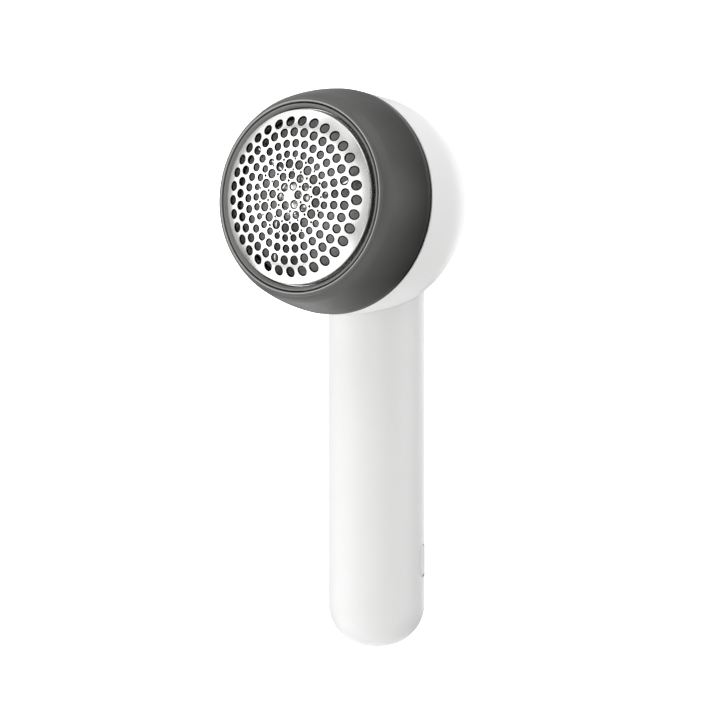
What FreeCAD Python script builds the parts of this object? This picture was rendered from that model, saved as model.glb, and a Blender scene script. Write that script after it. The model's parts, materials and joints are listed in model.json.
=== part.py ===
import FreeCAD, Part
import math
import os

# Hand-held fabric shaver: a drum-shaped head on top of a round handle.
# Millimetres. Z runs up the handle, which is centred on it, and the origin is the middle of the grip.
# The head's axis is level and its foil faces -Y.
#
# Head pieces are modelled in the head's own frame: Z is the distance forward of the split between
# the dark front housing and the white dome, X is the same as the object's X, and Y is up.

os.makedirs("parts", exist_ok=True)

# ---------------------------------------------------------------- driving dimensions
HEAD_RADIUS = 34.0          # at the split
HEAD_HEIGHT = 80.0          # head axis above the origin
SPLIT_AHEAD = 23.0          # split plane ahead of the handle's axis
SPLIT_GAP = 0.4             # open line between front housing and dome
DOME_STRAIGHT = 12.0        # length of the dome's drum before it rounds off
DOME_RADIUS = 33.8          # drum radius at the end of that length
DOME_DEPTH = 32.2           # from there to the dome's end
DOME_SHOULDER_ROUND = 31.0
SHELL_WALL = 2.0

GRIP_RADIUS = 15.1
GRIP_WALL = 2.3
GRIP_BOTTOM = -56.9
GRIP_ROUND = 13.4           # radius of the rounded end
GRIP_TOP = 43.0             # top of the straight part
NECK_RADIUS = 15.16         # where the handle meets the dome
SPIGOT_RADIUS = 14.2        # part of the handle that goes into the dome
SPIGOT_TOP = 63.0

FOIL_TOP = 24.3             # crown of the foil, forward of the split
FOIL_THICK = 0.35
FOIL_RADIUS = 25.7
FOIL_CROWN_ROUND = 140.0
FOIL_SHOULDER_ROUND = 16.0
FOIL_CROWN_EDGE = 18.5      # radius where the crown turns into the shoulder
FOIL_EDGE_ROUND = 0.6
FLANGE_BACK = 17.0          # back face of the foil's flange
FLANGE_RADIUS = 27.0

FRAME_RADIUS = 27.5
FRAME_LIP = 26.1            # inner edge of the ring seen round the foil
FRAME_FRONT = 19.9
FRAME_GAP = 0.35            # between the frame and the housing's bore

TOWER_RADIUS = 14.6
BULKHEAD_FRONT = -2.2
BULKHEAD_THICK = 1.8
BULKHEAD_RADIUS = 29.8
BOSS_CIRCLE = 25.0
BOSS_ANGLES = (90, 210, 330)

MOTOR_RADIUS = 12.2
MOTOR_FRONT = 9.0
MOTOR_BACK = -17.0
MOTOR_SCREW_REACH = 8.0
SHAFT_RADIUS = 1.0

CARRIER_BACK = 14.6
CARRIER_THICK = 1.4
CARRIER_RADIUS = 24.0
BLADE_COUNT = 3
BLADE_REACH = 23.4
BLADE_LEAN = 28.0
BLADE_THICK = 0.45
BLADE_GAP = 0.25            # blade edge to foil

CELL_RADIUS = 9.15
CELL_BOTTOM = -21.0
CELL_LENGTH = 65.0

BUTTON_HEIGHT = 51.0        # centre of the power button, on the back of the neck
BUTTON_RADIUS = 4.2
BUTTON_PROUD = 0.5

PORT_TURN = 16.0            # direction of the charging port, from +X towards +Y
PORT_HEIGHT = -30.0
PORT_COVER_TALL = 9.7
PORT_COVER_WIDE = 5.6
PORT_DEPTH = 1.2

FIT = 0.3                   # clearance between pieces that move past each other
EDGE_ROUND = 0.25           # rounding of the two edges that meet at the split
ARC_MIDDLE = 1 - math.sqrt(0.5)     # share of a quarter round's radius that its middle cuts back

X_AXIS = FreeCAD.Vector(1, 0, 0)
Y_AXIS = FreeCAD.Vector(0, 1, 0)
Z_AXIS = FreeCAD.Vector(0, 0, 1)
ORIGIN = FreeCAD.Vector(0, 0, 0)
HEAD_PLACE = FreeCAD.Placement(
    FreeCAD.Vector(0, -SPLIT_AHEAD, HEAD_HEIGHT), FreeCAD.Rotation(X_AXIS, 90)
)


# ---------------------------------------------------------------- shape helpers
def section_point(radius, height):
    """A point of a turned piece's outline: radius from the axis, height along it."""
    return FreeCAD.Vector(radius, 0, height)


def turned(outline):
    """A solid turned about Z. An outline entry is a corner, or a pair (through, end) for an arc."""
    edges = []
    here = section_point(*outline[0])
    for step in outline[1:] + outline[:1]:
        if isinstance(step[0], tuple):
            through, end = (section_point(*point) for point in step)
            edges.append(Part.Arc(here, through, end).toShape())
        else:
            end = section_point(*step)
            edges.append(Part.makeLine(here, end))
        here = end
    return Part.Face(Part.Wire(edges)).revolve(ORIGIN, Z_AXIS, 360)


def reversed_outline(entries):
    """The same corners and arcs walked the other way, starting after the last corner."""
    corners = [entry[1] if isinstance(entry[0], tuple) else entry for entry in entries]
    steps = []
    for entry, corner in zip(reversed(entries[1:]), reversed(corners[:-1])):
        steps.append((entry[0], corner) if isinstance(entry[0], tuple) else corner)
    return steps


def ring(inner, outer, bottom, top):
    return rod(outer, bottom, top).cut(rod(inner, bottom - 1, top + 1))


def rod(radius, bottom, top, x=0.0, y=0.0):
    return Part.makeCylinder(radius, top - bottom, FreeCAD.Vector(x, y, bottom))


def block(low, high):
    """A box between two corners."""
    size = [b - a for a, b in zip(low, high)]
    return Part.makeBox(*size, FreeCAD.Vector(*low))


def fused(first, *others):
    return first.fuse(list(others)).removeSplitter()


def about_axis(shape, angle, axis=Z_AXIS):
    turned_copy = shape.copy()
    turned_copy.rotate(ORIGIN, axis, angle)
    return turned_copy


def around(shape, angles):
    """Copies of a shape turned about Z by each of the angles."""
    return [about_axis(shape, angle) for angle in angles]


def on_head(shape):
    """Moves a piece from the head's frame to the object's."""
    placed = shape.copy()
    placed.Placement = HEAD_PLACE.multiply(placed.Placement)
    return placed


def at_port(shape):
    """Moves a piece from a frame where the charging port faces +X to its real direction and height."""
    placed = about_axis(shape, PORT_TURN)
    placed.translate(FreeCAD.Vector(0, 0, PORT_HEIGHT))
    return placed


def hexagon(across_flats, bottom, top):
    corner = across_flats / 2 / math.cos(math.radians(30))
    corners = [
        FreeCAD.Vector(corner * math.cos(k * math.pi / 3), corner * math.sin(k * math.pi / 3), bottom)
        for k in range(7)
    ]
    return Part.Face(Part.makePolygon(corners)).extrude(Z_AXIS * (top - bottom))


def sector(inner, outer, bottom, top, start, width):
    """Part of a ring, width degrees wide."""
    face = Part.Face(Part.makePolygon([
        section_point(inner, bottom), section_point(outer, bottom),
        section_point(outer, top), section_point(inner, top), section_point(inner, bottom),
    ]))
    return about_axis(face.revolve(ORIGIN, Z_AXIS, width), start)


def pill(tall, wide, low, high):
    """A bar along X from low to high, with a pill-shaped section that is tall along Z."""
    reach = (tall - wide) / 2
    middle = block((low, -wide / 2, -reach), (high, wide / 2, reach))
    ends = [
        Part.makeCylinder(wide / 2, high - low, FreeCAD.Vector(low, 0, z), X_AXIS)
        for z in (-reach, reach)
    ]
    return fused(middle, *ends)


def pan_screw(head_radius, head_height, shank_radius, length):
    """A cross-recessed pan-head screw, its head's underside at 0 and its shank along -Z."""
    head = turned([
        (0, 0), (head_radius, 0), (head_radius, head_height * 0.5),
        ((head_radius * 0.8, head_height * 0.9), (0, head_height)),
    ])
    tip = shank_radius * 0.4
    shank = turned([
        (0, -length), (tip, -length), (shank_radius, -length + 2 * shank_radius),
        (shank_radius, 0.0), (0, 0.0),
    ])
    wing = head_radius * 0.55
    slot = head_radius * 0.12
    recess = block((-wing, -slot, head_height * 0.4), (wing, slot, head_height + 1))
    return fused(head, shank).cut(fused(recess, about_axis(recess, 90)))


def wire_run(points, radius, bend):
    """A round wire along straight runs, with an arc of the bend radius at each corner."""
    corners = [FreeCAD.Vector(*point) for point in points]
    edges = []
    here = corners[0]
    for before, corner, after in zip(corners, corners[1:], corners[2:]):
        back = (before - corner).normalize()
        ahead = (after - corner).normalize()
        half_angle = back.getAngle(ahead) / 2
        setback = bend / math.tan(half_angle)
        start = corner + back * setback
        end = corner + ahead * setback
        to_centre = (back + ahead).normalize()
        middle = corner + to_centre * (bend / math.sin(half_angle) - bend)
        edges.append(Part.makeLine(here, start))
        edges.append(Part.Arc(start, middle, end).toShape())
        here = end
    edges.append(Part.makeLine(here, corners[-1]))
    path = Part.Wire(edges)
    outline = Part.Wire(Part.makeCircle(radius, corners[0], corners[1] - corners[0]))
    return path.makePipeShell([outline], True, False)


# ---------------------------------------------------------------- foil and its frame
def foil_arcs(inset):
    """Centres and radii of the foil's crown, shoulder and edge arcs, moved inwards by inset."""
    tilt = math.asin(FOIL_CROWN_EDGE / FOIL_CROWN_ROUND)
    crown = (0.0, FOIL_TOP - FOIL_CROWN_ROUND)
    step = FOIL_CROWN_ROUND - FOIL_SHOULDER_ROUND
    shoulder = (step * math.sin(tilt), crown[1] + step * math.cos(tilt))
    reach = FOIL_RADIUS - FOIL_EDGE_ROUND - shoulder[0]
    end_tilt = math.asin(reach / (FOIL_SHOULDER_ROUND - FOIL_EDGE_ROUND))
    step = FOIL_SHOULDER_ROUND - FOIL_EDGE_ROUND
    edge = (FOIL_RADIUS - FOIL_EDGE_ROUND, shoulder[1] + step * math.cos(end_tilt))
    rounds = (FOIL_CROWN_ROUND - inset, FOIL_SHOULDER_ROUND - inset, FOIL_EDGE_ROUND - inset)
    return list(zip((crown, shoulder, edge), rounds)), (0.0, tilt, end_tilt, math.pi / 2)


def foil_surface(inset):
    """Outline entries from the crown out to the skirt, for the foil's face moved inwards by inset."""
    arcs, tilts = foil_arcs(inset)
    entries = [(0.0, FOIL_TOP - inset)]
    for (centre, radius), start, end in zip(arcs, tilts, tilts[1:]):
        middle = (start + end) / 2
        entries.append(tuple(
            (centre[0] + radius * math.sin(a), centre[1] + radius * math.cos(a)) for a in (middle, end)
        ))
    return entries


# radius of the row, number of holes, hole diameter, turn of the first hole
FOIL_ROWS = (
    (22.05, 33, 2.75, 5.4),
    (18.7, 33, 2.5, 0.0),
    (15.4, 30, 2.25, -0.5),
    (12.3, 26, 2.0, -1.6),
    (9.4, 17, 2.6, 6.0),
    (6.1, 12, 2.3, 22.0),
    (3.1, 6, 2.4, 3.0),
)
FINE_ROWS = (
    (10.9, 17, 0.5, 16.6),
    (7.75, 17, 0.5, 16.6),
    (4.5, 6, 0.5, 33.0),
)


def make_foil():
    back = FLANGE_BACK
    front = back + FOIL_THICK
    inner = foil_surface(FOIL_THICK)
    outer = foil_surface(0.0)
    skirt = [
        (FOIL_RADIUS, front), (FLANGE_RADIUS, front), (FLANGE_RADIUS, back),
        (FOIL_RADIUS - FOIL_THICK, back),
    ]
    shell = turned(outer + skirt + [(FOIL_RADIUS - FOIL_THICK, inner[-1][1][1])] + reversed_outline(inner))
    holes = []
    for radius, count, diameter, first in FOIL_ROWS + FINE_ROWS:
        hole = rod(diameter / 2, back, FOIL_TOP + 1, radius)
        holes += around(hole, [first + k * 360.0 / count for k in range(count)])
    return shell.cut(holes)


BAYONET_ANGLES = (30, 150, 270)
BAYONET_TRAVEL = 20.0
LUG_WIDTH = 14.0
LUG_BACK = 12.4
LUG_FRONT = 13.6
LUG_TIP = 26.95
GROOVE_FLOOR = LUG_TIP - FIT - 0.05
RETAINER_BACK = 10.0


def make_foil_frame():
    lip_front = FRAME_FRONT - 1.3
    rebate = FLANGE_BACK + FOIL_THICK
    return turned([
        (FRAME_RADIUS, FLANGE_BACK), (FRAME_RADIUS, FRAME_FRONT - 0.3),
        ((FRAME_RADIUS - 0.09, FRAME_FRONT - 0.09), (FRAME_RADIUS - 0.3, FRAME_FRONT)),
        (FRAME_LIP + 0.1, lip_front), (FRAME_LIP, lip_front - 0.1), (FRAME_LIP, rebate),
        (FLANGE_RADIUS + 0.05, rebate), (FLANGE_RADIUS + 0.05, FLANGE_BACK),
    ])


def make_foil_retainer():
    seat = FOIL_RADIUS - FOIL_THICK - 0.35
    body = turned([
        (FRAME_RADIUS, RETAINER_BACK), (FRAME_RADIUS, FLANGE_BACK), (seat, FLANGE_BACK),
        (seat, FLANGE_BACK - 2), (seat + 0.6, FLANGE_BACK - 3), (seat + 0.6, RETAINER_BACK),
    ])
    margin = 1.0
    width = LUG_WIDTH + 2 * margin
    grooves = []
    for angle in BAYONET_ANGLES:
        start = angle - LUG_WIDTH / 2 - margin - BAYONET_TRAVEL
        top = LUG_FRONT + FIT
        grooves.append(sector(
            GROOVE_FLOOR, FRAME_RADIUS + 1, LUG_BACK - FIT, top, start, width + BAYONET_TRAVEL))
        grooves.append(sector(GROOVE_FLOOR, FRAME_RADIUS + 1, RETAINER_BACK - 1, top, start, width))
    return body.cut(grooves)


# ---------------------------------------------------------------- front housing
SPIGOT_BACK = -4.0
SPIGOT_BORE = BULKHEAD_RADIUS + 0.4
HOUSING_INSIDE = 31.4
CATCH_ANGLES = (45, 135, 225, 315)
CATCH_PLACE = -2.6
SEAL_INNER = 28.2
SEAL_THICK = 0.7


def make_front_housing():
    bore = FRAME_RADIUS + FRAME_GAP
    back = SPLIT_GAP / 2
    spigot = HEAD_RADIUS - SHELL_WALL - FIT
    middle = EDGE_ROUND * ARC_MIDDLE
    body = turned([
        (HEAD_RADIUS - EDGE_ROUND, back),
        ((HEAD_RADIUS - middle, back + middle), (HEAD_RADIUS, back + EDGE_ROUND)),
        (HEAD_RADIUS, 2.4),
        ((32.85, 9.3), (30.9, 16.3)),
        ((30.2, 17.7), (29.2, 19.1)),
        ((28.75, 19.95), (28.1, 19.85)),
        (bore, 19.5), (bore, 12.6), (30.4, 9.8), (HOUSING_INSIDE, 2.0),
        (SPIGOT_BORE, -0.5), (SPIGOT_BORE, SPIGOT_BACK),
        (spigot - 0.4, SPIGOT_BACK), (spigot, SPIGOT_BACK + 0.6), (spigot, back),
    ])
    lugs = [
        sector(LUG_TIP, bore + 1, LUG_BACK, LUG_FRONT, angle - LUG_WIDTH / 2, LUG_WIDTH)
        for angle in BAYONET_ANGLES
    ]
    catch = turned([
        (spigot - 0.3, CATCH_PLACE - 0.5), (spigot, CATCH_PLACE - 0.5),
        ((spigot + 0.22, CATCH_PLACE), (spigot, CATCH_PLACE + 0.5)), (spigot - 0.3, CATCH_PLACE + 0.5),
    ])
    catches = [
        catch.common(sector(spigot - 1, spigot + 1, CATCH_PLACE - 2, CATCH_PLACE + 2, angle - 6, 12))
        for angle in CATCH_ANGLES
    ]
    return fused(body, *lugs, *catches)


def make_dust_seal():
    return turned([
        (SEAL_INNER, BULKHEAD_FRONT), (29.5, BULKHEAD_FRONT),
        (SPIGOT_BORE - 0.1, BULKHEAD_FRONT + SEAL_THICK),
        (SPIGOT_BORE - 0.1, BULKHEAD_FRONT + SEAL_THICK + 0.3),
        (29.3, BULKHEAD_FRONT + SEAL_THICK), (SEAL_INNER, BULKHEAD_FRONT + SEAL_THICK),
    ])


# ---------------------------------------------------------------- cutter
HUB_RADIUS = 6.2
HUB_TOP = 21.3
HUB_ROOF = 19.0             # top of the recess that holds the float spring
HUB_RECESS = 4.7
DRIVE_FLATS = 5.0
SPINDLE_TOP = 20.3
SPINDLE_COLLAR_TOP = 14.0
CARRIER_TOP = CARRIER_BACK + CARRIER_THICK


def blade_turns():
    return [20 + k * 360.0 / BLADE_COUNT for k in range(BLADE_COUNT)]


def stake_places():
    return [(radius, -2.3) for radius in (10.0, 19.0)]


def make_blade_carrier():
    body = turned([
        (HUB_RECESS, CARRIER_BACK), (CARRIER_RADIUS - 0.4, CARRIER_BACK),
        (CARRIER_RADIUS, CARRIER_BACK + 0.4), (CARRIER_RADIUS, CARRIER_TOP - 0.4),
        (CARRIER_RADIUS - 0.4, CARRIER_TOP), (HUB_RADIUS + 0.8, CARRIER_TOP),
        ((HUB_RADIUS + 0.23, CARRIER_TOP + 0.23), (HUB_RADIUS, CARRIER_TOP + 0.8)),
        (HUB_RADIUS, HUB_TOP), (DRIVE_FLATS / 2, HUB_TOP), (DRIVE_FLATS / 2, HUB_ROOF),
        (HUB_RECESS, HUB_ROOF),
    ])
    body = body.cut(hexagon(DRIVE_FLATS + 0.3, HUB_ROOF - 1, HUB_TOP + 1))
    stakes = []
    for x, y in stake_places():
        stake = fused(
            rod(0.8, CARRIER_TOP - 0.5, CARRIER_TOP + 0.9, x, y),
            rod(1.3, CARRIER_TOP + BLADE_THICK, CARRIER_TOP + 0.9, x, y),
        )
        stakes += around(stake, blade_turns())
    return fused(body, *stakes)


def make_blades():
    arcs = foil_surface(FOIL_THICK + BLADE_GAP)
    sweep = turned(
        arcs[:3] + [(arcs[2][1][0], CARRIER_TOP), (0, CARRIER_TOP)]
    ).common(ring(HUB_RADIUS + 0.9, BLADE_REACH, CARRIER_TOP, FOIL_TOP))
    upright = block((0, -BLADE_THICK / 2, -2), (BLADE_REACH + 2, BLADE_THICK / 2, 12))
    upright = about_axis(upright, BLADE_LEAN, X_AXIS)
    upright.translate(FreeCAD.Vector(0, 0, CARRIER_TOP))
    foot = block(
        (HUB_RADIUS + 1.2, -4.2, CARRIER_TOP), (BLADE_REACH - 1.6, 0.0, CARRIER_TOP + BLADE_THICK)
    )
    for x, y in stake_places():
        foot = foot.cut(rod(0.8, CARRIER_TOP - 1, CARRIER_TOP + 2, x, y))
    blade = fused(upright.common(sweep), foot)
    return Part.makeCompound(around(blade, blade_turns()))


def make_blade_cap():
    return turned([
        (0, HUB_TOP), (HUB_RADIUS - 0.2, HUB_TOP), (HUB_RADIUS - 0.2, HUB_TOP + 0.5),
        ((HUB_RADIUS - 1.2, HUB_TOP + 1.2), (HUB_RADIUS - 3.0, HUB_TOP + 1.5)), (0, HUB_TOP + 1.5),
    ])


def make_float_spring():
    wire = 0.3
    mean_radius = 3.85
    height = HUB_ROOF - SPINDLE_COLLAR_TOP - 2 * wire
    path = Part.makeHelix(height / 4.5, height, mean_radius)
    path.translate(FreeCAD.Vector(0, 0, SPINDLE_COLLAR_TOP + wire))
    start = FreeCAD.Vector(mean_radius, 0, SPINDLE_COLLAR_TOP + wire)
    outline = Part.Wire(Part.makeCircle(wire, start, Y_AXIS))
    return Part.Wire(path.Edges).makePipeShell([outline], True, True)


def make_drive_spindle():
    body = turned([
        (SHAFT_RADIUS, 12.6), (2.6, 12.6), (2.6, 13.2), (4.4, 13.2), (4.4, SPINDLE_COLLAR_TOP),
        (3.1, SPINDLE_COLLAR_TOP), (3.1, 17.5), (SHAFT_RADIUS, 17.5),
    ])
    driver = hexagon(DRIVE_FLATS, 17.5, SPINDLE_TOP).cut(rod(SHAFT_RADIUS, 17, 19.0))
    return fused(body, driver)


# ---------------------------------------------------------------- motor
CAN_WALL = 1.0
MOTOR_BOSS_RADIUS = 3.0
MOTOR_BOSS_TOP = 10.6
BELL_END = -19.8            # back of the end bell's boss
BUSH_RADIUS = 1.9
MAGNET_INNER = 8.6
POLE_ANGLES = (0, 120, 240)
POLE_BACK = -8
POLE_FRONT = 4
NECK_HALF = 1.2             # half the width of a pole's neck, which its coil is wound on
TERMINAL_INNER = 7.4
TERMINAL_OUTER = 7.8
TERMINAL_HALF = 1.1
COMMUTATOR_RADIUS = 2.6


def make_motor_can():
    inside = MOTOR_RADIUS - CAN_WALL
    can = turned([
        (inside, MOTOR_BACK), (MOTOR_RADIUS, MOTOR_BACK), (MOTOR_RADIUS, MOTOR_FRONT - 0.8),
        ((MOTOR_RADIUS - 0.23, MOTOR_FRONT - 0.23), (MOTOR_RADIUS - 0.8, MOTOR_FRONT)),
        (MOTOR_BOSS_RADIUS, MOTOR_FRONT), (MOTOR_BOSS_RADIUS, MOTOR_BOSS_TOP),
        (BUSH_RADIUS, MOTOR_BOSS_TOP), (BUSH_RADIUS, MOTOR_FRONT - CAN_WALL),
        (inside, MOTOR_FRONT - CAN_WALL),
    ])
    hole = rod(1.0, MOTOR_FRONT - 3, MOTOR_FRONT + 1, MOTOR_SCREW_REACH)
    return can.cut(around(hole, (0, 180)))


def terminal_blade(back, front):
    return block((TERMINAL_INNER, -TERMINAL_HALF, back), (TERMINAL_OUTER, TERMINAL_HALF, front))


def make_motor_end_bell():
    inside = MOTOR_RADIUS - CAN_WALL
    bell = turned([
        (BUSH_RADIUS, BELL_END), (4.0, BELL_END), (4.0, BELL_END + 1.4),
        (MOTOR_RADIUS - 0.4, BELL_END + 1.4), (MOTOR_RADIUS, BELL_END + 1.8),
        (MOTOR_RADIUS, MOTOR_BACK), (inside, MOTOR_BACK),
        (inside, MOTOR_BACK + 2.0), (BUSH_RADIUS, MOTOR_BACK + 2.0),
    ])
    slots = around(terminal_blade(-25, -10), (0, 180))
    return bell.cut(slots)


def make_motor_terminals():
    tab = terminal_blade(-22.0, MOTOR_BACK + 2.0)
    eye = Part.makeCylinder(0.5, 2, FreeCAD.Vector(7, 0, -20.8), X_AXIS)
    return Part.makeCompound(around(tab.cut(eye), (0, 180)))


def make_motor_brushes():
    back = MOTOR_BACK + 2.0
    inner = COMMUTATOR_RADIUS + 0.15
    leaf = block((inner, -1.4, back), (inner + 0.25, 1.4, back + 3.5))
    arm = block((inner + 0.25, -1.4, back), (TERMINAL_OUTER, 1.4, back + 0.3))
    return Part.makeCompound(around(fused(leaf, arm), (0, 180)))


def make_motor_bushes():
    bore = SHAFT_RADIUS + 0.04
    return Part.makeCompound([
        ring(bore, BUSH_RADIUS, MOTOR_FRONT - CAN_WALL, MOTOR_BOSS_TOP),
        ring(bore, BUSH_RADIUS, BELL_END, BELL_END + 2.4),
    ])


def make_motor_magnets():
    outer = MOTOR_RADIUS - CAN_WALL
    return Part.makeCompound([sector(MAGNET_INNER, outer, -10, 6, start, 130) for start in (25, 205)])


def make_armature():
    core = ring(SHAFT_RADIUS, 3.2, POLE_BACK, POLE_FRONT)
    poles = []
    for angle in POLE_ANGLES:
        neck = block((2.6, -NECK_HALF, POLE_BACK), (6.8, NECK_HALF, POLE_FRONT))
        poles.append(about_axis(neck, angle))
        poles.append(sector(6.4, MAGNET_INNER - 0.4, POLE_BACK, POLE_FRONT, angle - 47, 94))
    return fused(core, *poles)


def make_windings():
    outside = block((3.6, -2.6, POLE_BACK - 1.6), (5.7, 2.6, POLE_FRONT + 1.6))
    coil = outside.cut(block((0, -NECK_HALF, POLE_BACK), (9, NECK_HALF, POLE_FRONT)))
    return Part.makeCompound(around(coil, POLE_ANGLES))


def make_commutator():
    return ring(SHAFT_RADIUS, COMMUTATOR_RADIUS, -14.0, -10.6)


def make_motor_shaft():
    return rod(SHAFT_RADIUS, -20.8, 19.0)


# ---------------------------------------------------------------- motor mount
DAMPER_THICK = 0.3
MOUNT_FACE = 1.8            # thickness of the wall in front of the motor
TOWER_BACK = -14.0
TOWER_DRAFT = 0.3
RIB_BACK = -9.0
SWITCH_TURN = 30.0
SWITCH_HALF = 3.2
SWITCH_SEAT = 27.0
SWITCH_BACK = -9.6


def make_motor_mount():
    sleeve = MOTOR_RADIUS + DAMPER_THICK
    front_wall = MOTOR_FRONT + MOUNT_FACE
    bulkhead_back = BULKHEAD_FRONT - BULKHEAD_THICK
    body = turned([
        (sleeve, TOWER_BACK), (TOWER_RADIUS, TOWER_BACK), (TOWER_RADIUS, bulkhead_back),
        (BULKHEAD_RADIUS, bulkhead_back), (BULKHEAD_RADIUS, BULKHEAD_FRONT),
        (TOWER_RADIUS + 1.5, BULKHEAD_FRONT),
        ((TOWER_RADIUS + 0.44, BULKHEAD_FRONT + 0.44), (TOWER_RADIUS, BULKHEAD_FRONT + 1.5)),
        (TOWER_RADIUS - TOWER_DRAFT, front_wall - 1.5),
        ((TOWER_RADIUS - TOWER_DRAFT - 0.44, front_wall - 0.44),
         (TOWER_RADIUS - TOWER_DRAFT - 1.5, front_wall)),
        (MOTOR_BOSS_RADIUS + FIT, front_wall), (MOTOR_BOSS_RADIUS + FIT, MOTOR_FRONT),
        (sleeve, MOTOR_FRONT),
    ])
    rib = block((TOWER_RADIUS - 0.5, -0.7, RIB_BACK), (22.0, 0.7, bulkhead_back))
    ribs = around(rib, range(0, 360, 60))
    switch_wall = block(
        (SWITCH_SEAT - 2.4, -SWITCH_HALF, SWITCH_BACK), (SWITCH_SEAT, SWITCH_HALF, bulkhead_back)
    )
    body = fused(body, *ribs, about_axis(switch_wall, SWITCH_TURN))
    holes = around(rod(1.3, -15, 0, BOSS_CIRCLE), BOSS_ANGLES)
    holes += around(rod(1.1, 5, 15, MOTOR_SCREW_REACH), (0, 180))
    return body.cut(holes)


def make_motor_damper():
    return ring(MOTOR_RADIUS, MOTOR_RADIUS + DAMPER_THICK, -6, 5)


def make_motor_screws():
    screw = pan_screw(1.9, 1.3, 1.0, 3.6)
    screw.translate(FreeCAD.Vector(MOTOR_SCREW_REACH, 0, MOTOR_FRONT + MOUNT_FACE))
    return Part.makeCompound(around(screw, (0, 180)))


def make_mount_screws():
    screw = pan_screw(2.3, 1.6, 1.05, 10.0)
    screw.translate(FreeCAD.Vector(BOSS_CIRCLE, 0, BULKHEAD_FRONT))
    return Part.makeCompound(around(screw, BOSS_ANGLES))


PLUNGER_REACH = 29.6
PLUNGER_RADIUS = 0.7


def make_safety_switch():
    body = block(
        (SWITCH_SEAT, -SWITCH_HALF, SWITCH_BACK), (SWITCH_SEAT + 4.2, SWITCH_HALF, SWITCH_BACK + 4.0)
    )
    body = body.cut(rod(PLUNGER_RADIUS + FIT, SWITCH_BACK + 1.0, 0, PLUNGER_REACH))
    pins = [
        block((28.0, y - 0.3, SWITCH_BACK - 2.8), (28.5, y + 0.3, SWITCH_BACK))
        for y in (-2.2, 0, 2.2)
    ]
    return about_axis(fused(body, *pins), SWITCH_TURN)


def make_safety_plunger():
    plunger = rod(PLUNGER_RADIUS, SWITCH_BACK + 1.7, SPIGOT_BACK - FIT, PLUNGER_REACH)
    return about_axis(plunger, SWITCH_TURN)


# ---------------------------------------------------------------- white shells
def dome_surface(inset, front):
    """Outline entries from the dome's rim back to its pole, for its face moved inwards by inset."""
    side = DOME_RADIUS - DOME_SHOULDER_ROUND
    drop = DOME_DEPTH - DOME_SHOULDER_ROUND
    crown_round = DOME_SHOULDER_ROUND + (side ** 2 + drop ** 2) / (2 * drop)
    shoulder = (side, -DOME_STRAIGHT)
    crown = (0.0, -DOME_STRAIGHT - DOME_DEPTH + crown_round)
    change = math.atan2(side, crown[1] - shoulder[1])
    arcs = (
        (shoulder, DOME_SHOULDER_ROUND - inset, math.pi / 2, change),
        (crown, crown_round - inset, change, 0.0),
    )
    entries = [(HEAD_RADIUS - inset, front), (DOME_RADIUS - inset, -DOME_STRAIGHT)]
    for centre, radius, start, end in arcs:
        entries.append(tuple(
            (centre[0] + radius * math.sin(a), centre[1] - radius * math.cos(a))
            for a in ((start + end) / 2, end)
        ))
    return entries


def dome_body(inset, front):
    """All that lies inside the dome's face moved inwards by inset, back from the front plane."""
    return turned([(0.0, front)] + dome_surface(inset, front))


NECK_SCREW_X = 7.0
NECK_SCREW_Z = 67.5
TONGUE_FRONT = 7.9
TONGUE_BACK = 9.9


def make_rear_dome():
    front = -SPLIT_GAP / 2
    outer = dome_surface(0, front)
    inner = dome_surface(SHELL_WALL, front)
    middle = EDGE_ROUND * ARC_MIDDLE
    rim = [
        (HEAD_RADIUS - EDGE_ROUND, front),
        ((HEAD_RADIUS - middle, front - middle), (HEAD_RADIUS, front - EDGE_ROUND)),
    ]
    shell = turned(rim + outer[1:] + [inner[-1][1]] + reversed_outline(inner))
    rooting = dome_body(SHELL_WALL / 2, front)
    boss = rod(3.0, -50, BULKHEAD_FRONT - BULKHEAD_THICK, BOSS_CIRCLE)
    bosses = [one.common(rooting) for one in around(boss, BOSS_ANGLES)]
    shell = fused(shell, *bosses)
    pilots = around(rod(1.05, -14.5, 0, BOSS_CIRCLE), BOSS_ANGLES)
    wall = HEAD_RADIUS - SHELL_WALL
    detent = turned([
        (wall - 1.0, CATCH_PLACE - 0.9), (wall + 0.05, CATCH_PLACE - 0.9),
        ((wall + 0.4, CATCH_PLACE), (wall + 0.05, CATCH_PLACE + 0.9)),
        (wall - 1.0, CATCH_PLACE + 0.9),
    ])
    shell = on_head(shell.cut(pilots + [detent]))
    inside = on_head(rooting)
    for side in (-1, 1):
        place = FreeCAD.Vector(side * NECK_SCREW_X, TONGUE_BACK, NECK_SCREW_Z)
        boss = Part.makeCylinder(2.8, 30, place, Y_AXIS).common(inside)
        pilot = Part.makeCylinder(0.95, 6.5, place, Y_AXIS)
        shell = shell.fuse(boss).cut(pilot)
    neck_hole = rod(SPIGOT_RADIUS + 0.05, 30, SPIGOT_TOP + 1.5)
    return shell.cut(neck_hole).removeSplitter()


def grip_body(inset, top):
    """The handle's outer body, its faces moved inwards by inset, up to the given height."""
    radius = GRIP_RADIUS - inset
    neck = NECK_RADIUS - inset
    bottom = GRIP_BOTTOM + inset
    corner = GRIP_ROUND - inset
    flat = radius - corner
    across = corner * math.sin(math.radians(45))
    return turned([
        (0, bottom), (flat, bottom),
        ((flat + across, bottom + corner - across), (radius, bottom + corner)),
        (radius, GRIP_TOP), (neck, top), (0, top),
    ])


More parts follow.
